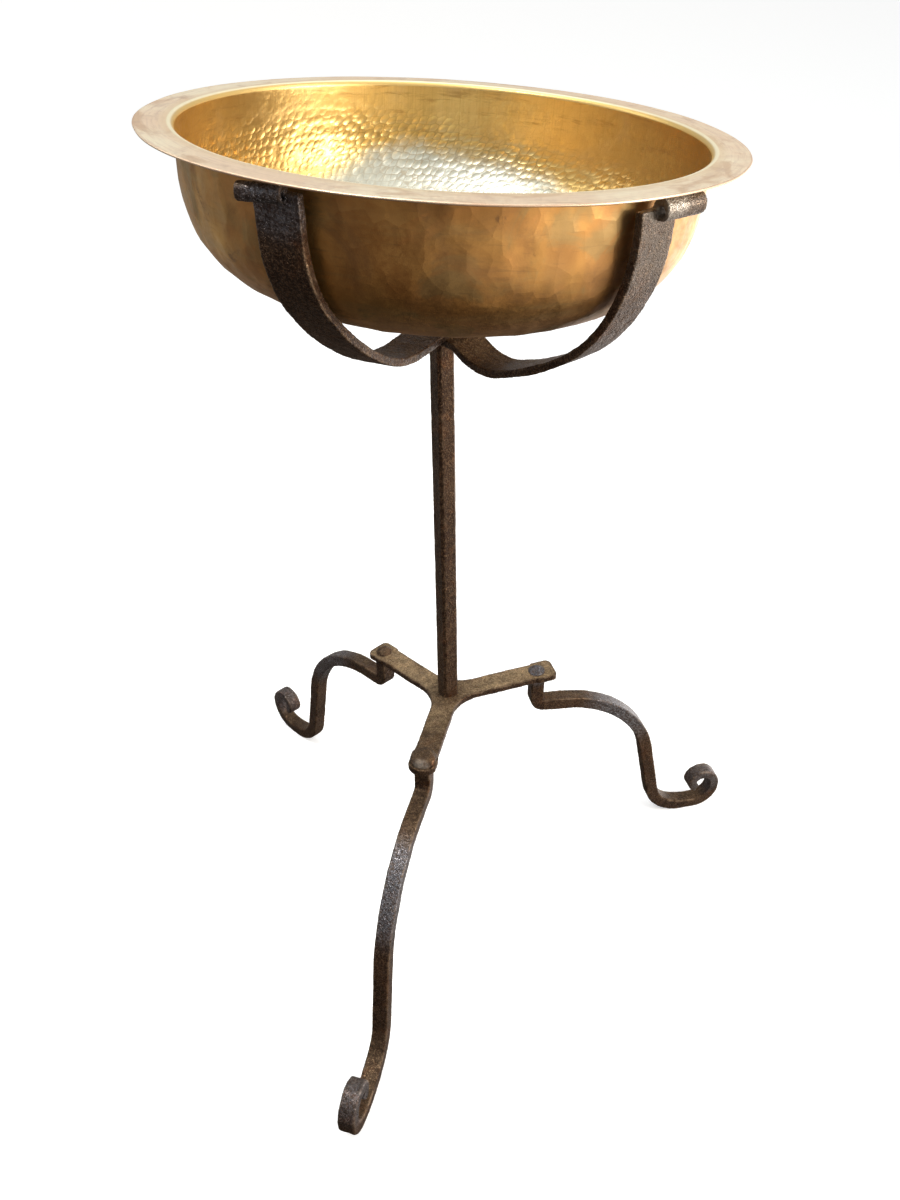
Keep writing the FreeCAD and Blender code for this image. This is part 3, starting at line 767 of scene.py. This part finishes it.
def build_stand():
    iron = forged_iron("iron_forged")
    for number, node_name in enumerate(("post", "hub_spider", "cradle_bar_upper", "cradle_bar_lower",
                                        "leg_front", "leg_left", "leg_right")):
        spots = []
        if node_name.startswith("leg"):
            foot = Vector(mount_place(node_name.replace("leg", "foot")))
            outward = Vector((foot.x, foot.y, 0)).normalized()
            # Polish near the foot, on the bend and on the right dome, coloured as painted highlights
            # too.
            spots.append(("polish_and_painted_sheen", foot + outward * 0.02 + Vector((0, 0, 0.05)), 0.035, 0.7))
            spots.append(("polish_and_painted_sheen", outward * 0.252 + Vector((0, 0, 0.228)), 0.080, 0.85))
            if node_name == "leg_right":
                spots.append(("polish_and_painted_sheen", dome_place(node_name), 0.030, 0.85))
            if node_name == "leg_front":
                lower_edge = Vector(dome_place(node_name)) + outward * 0.018 - Vector((0, 0, 0.008))
                spots.append(("bare_and_painted_light", lower_edge, 0.016, 0.45))
        if node_name in TIPS:
            reach, degrees = TIPS[node_name]
            turn = math.radians(degrees)
            tip = Vector((math.sin(turn), -math.cos(turn), 0)) * reach
            place = tip + Vector((0, 0, Vector(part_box(node_name)[1]).z - 0.012))
            if node_name.endswith("lower"):
                # Painted light: a pale patch on the right-hand rolled tip and a fainter one down its
                # strap.
                spots.append(("bare_and_painted_light", place, 0.036, 1.1))
                spots.append(("bare_and_painted_light", place - Vector((0, 0, 0.03)), 0.080, 0.20))
            else:
                # Polish on the upper bar's rolled tip, coloured as a painted highlight too.
                spots.append(("polish_and_painted_sheen", place, 0.036, 0.7))
        mesh = forge(node_name, 100 + 10 * number, WEAR_ROUNDS, SWELL, PIT_DEPTH,
                     DUSTINESS.get(node_name, LITTLE_DUST), spots)
        mesh.materials.append(iron)
        add_piece(node_name + "_forged", mesh, "stand", [node_name])


build_bowl()
build_stand()


# ---------------------------------------------------------------- floor, light, camera
CAMERA_TURN = math.radians(16.4)
CAMERA_BACK = 0.9462
CAMERA_ASIDE = 0.0009
CAMERA_HEIGHT = 1.1495
PITCH = math.radians(36.01)
YAW = math.radians(0.217)
ROLL = math.radians(-0.87)
LENS_MM = 29.17

right = Vector((math.cos(CAMERA_TURN), math.sin(CAMERA_TURN), 0))
ahead = Vector((-math.sin(CAMERA_TURN), math.cos(CAMERA_TURN), 0))


def add_camera():
    level = (ahead * math.cos(YAW) + right * math.sin(YAW)).normalized()
    side = (right * math.cos(YAW) - ahead * math.sin(YAW)).normalized()
    forward = level * math.cos(PITCH) - Vector((0, 0, math.sin(PITCH)))
    upward = side.cross(forward)
    turned_side = side * math.cos(ROLL) + upward * math.sin(ROLL)
    turned_up = upward * math.cos(ROLL) - side * math.sin(ROLL)
    data = bpy.data.cameras.new("camera")
    data.lens = LENS_MM
    data.sensor_width = 36.0
    camera = bpy.data.objects.new("camera", data)
    bpy.context.scene.collection.objects.link(camera)
    rotation = Matrix((turned_side, turned_up, -forward)).transposed()
    camera.matrix_world = Matrix.Translation(right * CAMERA_ASIDE - ahead * CAMERA_BACK +
                                             Vector((0, 0, CAMERA_HEIGHT))) @ rotation.to_4x4()
    bpy.context.scene.camera = camera


def add_floor():
    """Pale round studio sweep: a level floor that curves up into a wall on every side."""
    profile = [(0.0, 0.0), (2.0, 0.0), (5.0, 0.0)]
    for step in range(1, 13):
        angle = step / 12 * math.pi / 2
        profile.append((5.0 + 3.0 * math.sin(angle), 3.0 - 3.0 * math.cos(angle)))
    profile.append((8.0, 14.0))
    around = 64
    points = [(0.0, 0.0, 0.0)]
    for reach, height in profile[1:]:
        for column in range(around):
            turn = 2 * math.pi * column / around
            points.append((reach * math.cos(turn), reach * math.sin(turn), height))
    faces = [(0, 1 + i, 1 + (i + 1) % around) for i in range(around)]
    for row in range(len(profile) - 2):
        low, high = 1 + row * around, 1 + (row + 1) * around
        faces += [(low + i, high + i, high + (i + 1) % around, low + (i + 1) % around)
                  for i in range(around)]
    mesh = bpy.data.meshes.new("floor")
    mesh.from_pydata(points, [], faces)
    shade_smooth(mesh)
    floor = bpy.data.objects.new("floor", mesh)
    bpy.context.scene.collection.objects.link(floor)
    material = bpy.data.materials.new("floor_pale")
    material.use_nodes = True
    surface = material.node_tree.nodes["Principled BSDF"]
    surface.inputs["Base Color"].default_value = (0.87, 0.865, 0.855, 1)
    surface.inputs["Roughness"].default_value = 0.9
    surface.inputs["Specular IOR Level"].default_value = 0.1
    surface.inputs["Emission Color"].default_value = (1, 1, 1, 1)
    surface.inputs["Emission Strength"].default_value = 0.38
    mesh.materials.append(material)
    floor.visible_diffuse = False
    floor.visible_glossy = False
    floor.visible_shadow = False


def add_area(name, place, target, size, power, colour):
    data = bpy.data.lights.new(name, "AREA")
    data.shape = "RECTANGLE"
    data.size, data.size_y = size
    data.energy = power
    data.color = colour
    light = bpy.data.objects.new(name, data)
    bpy.context.scene.collection.objects.link(light)
    light.location = place
    light.rotation_euler = (Vector(target) - Vector(place)).to_track_quat("-Z", "Y").to_euler()


def add_world():
    """Soft room light: pale sky, bright to the right of the view and dim to its left."""
    world = bpy.data.worlds.new("studio")
    bpy.context.scene.world = world
    world.use_nodes = True
    tree = world.node_tree
    background = tree.nodes["Background"]

    def node(kind, **settings):
        new = tree.nodes.new(kind)
        for key, value in settings.items():
            setattr(new, key, value)
        return new

    def toward(direction, low, high):
        dot = node("ShaderNodeVectorMath", operation="DOT_PRODUCT")
        tree.links.new(place, dot.inputs[0])
        dot.inputs[1].default_value = tuple(direction)
        new = node("ShaderNodeMapRange", interpolation_type="SMOOTHSTEP")
        tree.links.new(dot.outputs["Value"], new.inputs["Value"])
        new.inputs["From Min"].default_value = low
        new.inputs["From Max"].default_value = high
        return new.outputs["Result"]

    def blend(share, first, second):
        new = node("ShaderNodeMix", data_type="RGBA")
        tree.links.new(share, new.inputs["Factor"])
        for socket, value in ((new.inputs[6], first), (new.inputs[7], second)):
            if isinstance(value, bpy.types.NodeSocket):
                tree.links.new(value, socket)
            else:
                socket.default_value = (*value, 1.0)
        return new.outputs[2]

    place = node("ShaderNodeTexCoord").outputs["Generated"]
    low_right = toward(right * 0.84 - ahead * 0.25 - Vector((0, 0, 0.40)), 0.30, 0.95)
    back_right = toward(right * 0.75 + ahead * 0.65, 0.55, 0.95)
    back_left = toward(-right * 0.75 + ahead * 0.65, 0.55, 1.0)
    ground = blend(low_right, (0.155, 0.098, 0.072), (1.75, 1.57, 1.36))
    ground = blend(back_left, ground, (0.52, 0.50, 0.44))
    ground = blend(back_right, ground, (3.4, 3.3, 3.2))
    ground = blend(toward((0, 0, -1), 0.55, 0.92), ground, (0.05, 0.04, 0.032))
    sky = blend(toward(right, -0.2, 0.8), (0.46, 0.48, 0.50), (0.85, 0.83, 0.80))
    sky = blend(toward((0, 0, 1), 0.35, 0.90), sky, (0.95, 0.97, 0.98))
    tree.links.new(blend(toward((0, 0, 1), -0.22, 0.05), ground, sky), background.inputs["Color"])
    background.inputs["Strength"].default_value = 0.8


def add_lights():
    centre = Vector((0, 0, 0.8))
    up = Vector((0, 0, 1))
    for name, away, size, power, colour in (
            ("key", right * 2.25 - ahead * 0.92 + up * 0.45, (1.2, 1.0), 60, (1.0, 0.95, 0.88)),
            ("top", up * 2.6 - right * 0.2 + ahead * 0.3, (2.6, 2.6), 27, (1.0, 1.0, 1.0)),
            ("skylight", -right * 0.85 - ahead * 0.7 + up * 2.3, (0.6, 0.6), 30, (1.0, 1.0, 1.0)),
            ("window", right * 1.9 + up * 1.6, (0.8, 0.8), 10, (1.0, 0.99, 0.96)),
            ("left", -right * 2.2 + ahead * 0.9 + up * 1.6, (1.2, 1.2), 12, (1.0, 0.98, 0.94))):
        add_area(name, centre + away, centre, size, power, colour)


add_camera()
add_floor()
add_world()
add_lights()
bpy.context.scene.view_settings.view_transform = "Standard"
